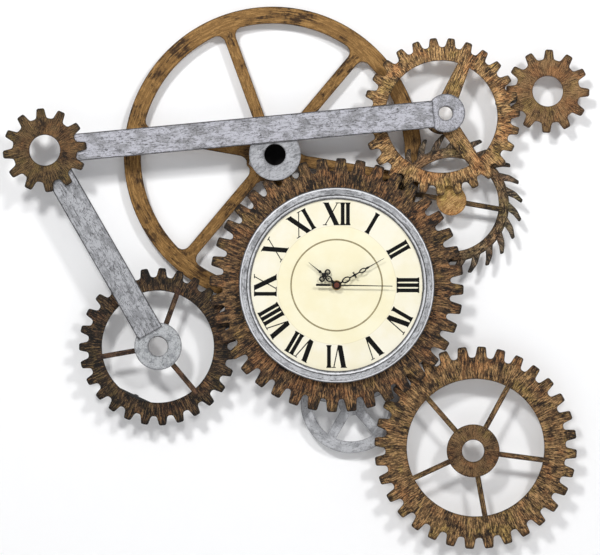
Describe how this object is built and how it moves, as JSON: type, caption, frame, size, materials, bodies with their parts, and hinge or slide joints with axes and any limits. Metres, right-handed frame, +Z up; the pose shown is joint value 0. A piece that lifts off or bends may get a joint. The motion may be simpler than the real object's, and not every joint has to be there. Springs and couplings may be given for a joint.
{
  "type": "gear wall clock",
  "caption": "Wall clock of overlapping toothed gears, a spoked flywheel and two link bars around a round dial with Roman numerals and pierced hands.",
  "frame": {"origin": "on the wall, midway between the two keyhole entries, behind the flywheel's centre", "axes": "+X to the right seen from the front, +Y into the wall, +Z up"},
  "size_m": [0.8991, 0.0592, 0.8348],
  "materials": {
    "bronze_paint": "antique bronze paint, dry-brushed over black, satin",
    "golden_paint": "brushed orange-gold paint, satin",
    "cap_gold": "gold paint, satin",
    "distressed_silver": "distressed silver paint with long scratches, satin",
    "slotted_silver": "grey-silver paint, satin",
    "black_paint": "black paint, semi-gloss",
    "foot_rubber": "matte",
    "fibreboard": "plain fibreboard",
    "dial_cream": "cream printed card look, matte",
    "zinc_steel": "zinc-plated steel",
    "case_plastic": "black moulded plastic",
    "white_plastic": "white moulded plastic",
    "movement_brass": "turned brass",
    "gasket_rubber": "matte",
    "circuit_board": "green board",
    "coil_copper": "enamelled copper winding",
    "magnet": "sintered magnet",
    "battery_sleeve": "plain printed sleeve",
    "hand_black": "black paint, satin",
    "cap_brown": "reddish-brown, satin"
  },
  "bodies": {
    "clock": {"flywheel": "golden_paint", "left_pinion": "bronze_paint", "right_pinion": "bronze_paint", "upper_gear": "bronze_paint", "lower_left_gear_rim": "bronze_paint", "lower_left_gear_spokes": "bronze_paint", "lower_right_gear_rim": "bronze_paint", "lower_right_gear_spokes": "bronze_paint", "lower_right_gear_hub": "bronze_paint", "escape_wheel_teeth": "bronze_paint", "escape_wheel_ring": "bronze_paint", "escape_wheel_spoke": "bronze_paint", "escape_wheel_cap": "cap_gold", "dial_gear": "bronze_paint", "slotted_wheel": "slotted_silver", "long_link_bar": "distressed_silver", "long_link_middle_eye": "distressed_silver", "long_link_end_eye": "distressed_silver", "short_link_bar": "distressed_silver", "short_link_end_eye": "distressed_silver", "eye_tubes": "black_paint", "spacer_posts": "black_paint", "left_gear_bracket": "black_paint", "right_gear_bracket": "black_paint", "right_pinion_bracket": "black_paint", "left_foot_strap": "black_paint", "wall_feet": "black_paint", "foot_pads": "foot_rubber", "hanger_plates": "black_paint", "hanger_spacers": "black_paint", "dial_backing": "fibreboard", "dial_plate": "dial_cream", "bezel": "distressed_silver", "bezel_screws": "zinc_steel", "movement_front_case": "case_plastic", "movement_back_case": "case_plastic", "bearing_plate": "white_plastic", "threaded_bush": "movement_brass", "dial_gasket": "gasket_rubber", "bush_washer": "movement_brass", "hex_nut": "movement_brass", "circuit_board": "circuit_board", "quartz_crystal": "zinc_steel", "coil": "coil_copper", "stator": "zinc_steel", "battery": "battery_sleeve", "battery_contacts": "zinc_steel"},
    "minute_hand_arbor": {"minute_hand": "hand_black", "centre_wheel": "white_plastic", "cannon_pinion": "movement_brass"},
    "hour_hand_pipe": {"hour_hand": "hand_black", "hour_wheel": "white_plastic"},
    "second_hand_arbor": {"second_hand": "hand_black", "hand_cap": "cap_brown", "second_wheel": "white_plastic"},
    "third_wheel": {"third_wheel": "white_plastic"},
    "fifth_wheel": {"fifth_wheel": "white_plastic"},
    "rotor": {"rotor": "magnet"},
    "minute_wheel": {"minute_wheel": "white_plastic"},
    "setting_knob": {"setting_knob": "white_plastic"}
  },
  "joints": [
    {"name": "minute_hand_spin", "type": "hinge", "parent": "clock", "child": "minute_hand_arbor", "pos_m": [0.098, -0.042, -0.2], "axis": [0, 1, 0], "continuous": true},
    {"name": "hour_hand_spin", "type": "hinge", "parent": "clock", "child": "hour_hand_pipe", "pos_m": [0.098, -0.042, -0.2], "axis": [0, 1, 0], "continuous": true},
    {"name": "second_hand_spin", "type": "hinge", "parent": "clock", "child": "second_hand_arbor", "pos_m": [0.098, -0.042, -0.2], "axis": [0, 1, 0], "continuous": true},
    {"name": "third_wheel_spin", "type": "hinge", "parent": "clock", "child": "third_wheel", "pos_m": [0.10988, -0.042, -0.19168], "axis": [0, 1, 0], "continuous": true},
    {"name": "fifth_wheel_spin", "type": "hinge", "parent": "clock", "child": "fifth_wheel", "pos_m": [0.08817, -0.042, -0.19312], "axis": [0, 1, 0], "continuous": true},
    {"name": "rotor_spin", "type": "hinge", "parent": "clock", "child": "rotor", "pos_m": [0.0831, -0.042, -0.20399], "axis": [0, 1, 0], "continuous": true},
    {"name": "minute_wheel_spin", "type": "hinge", "parent": "clock", "child": "minute_wheel", "pos_m": [0.1025, -0.042, -0.20779], "axis": [0, 1, 0], "continuous": true},
    {"name": "setting_knob_spin", "type": "hinge", "parent": "clock", "child": "setting_knob", "pos_m": [0.11136, -0.042, -0.20936], "axis": [0, 1, 0], "continuous": true}
  ],
  "couplings": [
    {"joint": "hour_hand_spin", "follows": "minute_hand_spin", "ratio": 0.083333},
    {"joint": "second_hand_spin", "follows": "minute_hand_spin", "ratio": 60},
    {"joint": "third_wheel_spin", "follows": "minute_hand_spin", "ratio": -8},
    {"joint": "fifth_wheel_spin", "follows": "minute_hand_spin", "ratio": -300},
    {"joint": "rotor_spin", "follows": "minute_hand_spin", "ratio": 1800},
    {"joint": "minute_wheel_spin", "follows": "minute_hand_spin", "ratio": -0.33333},
    {"joint": "setting_knob_spin", "follows": "minute_hand_spin", "ratio": 1}
  ]
}
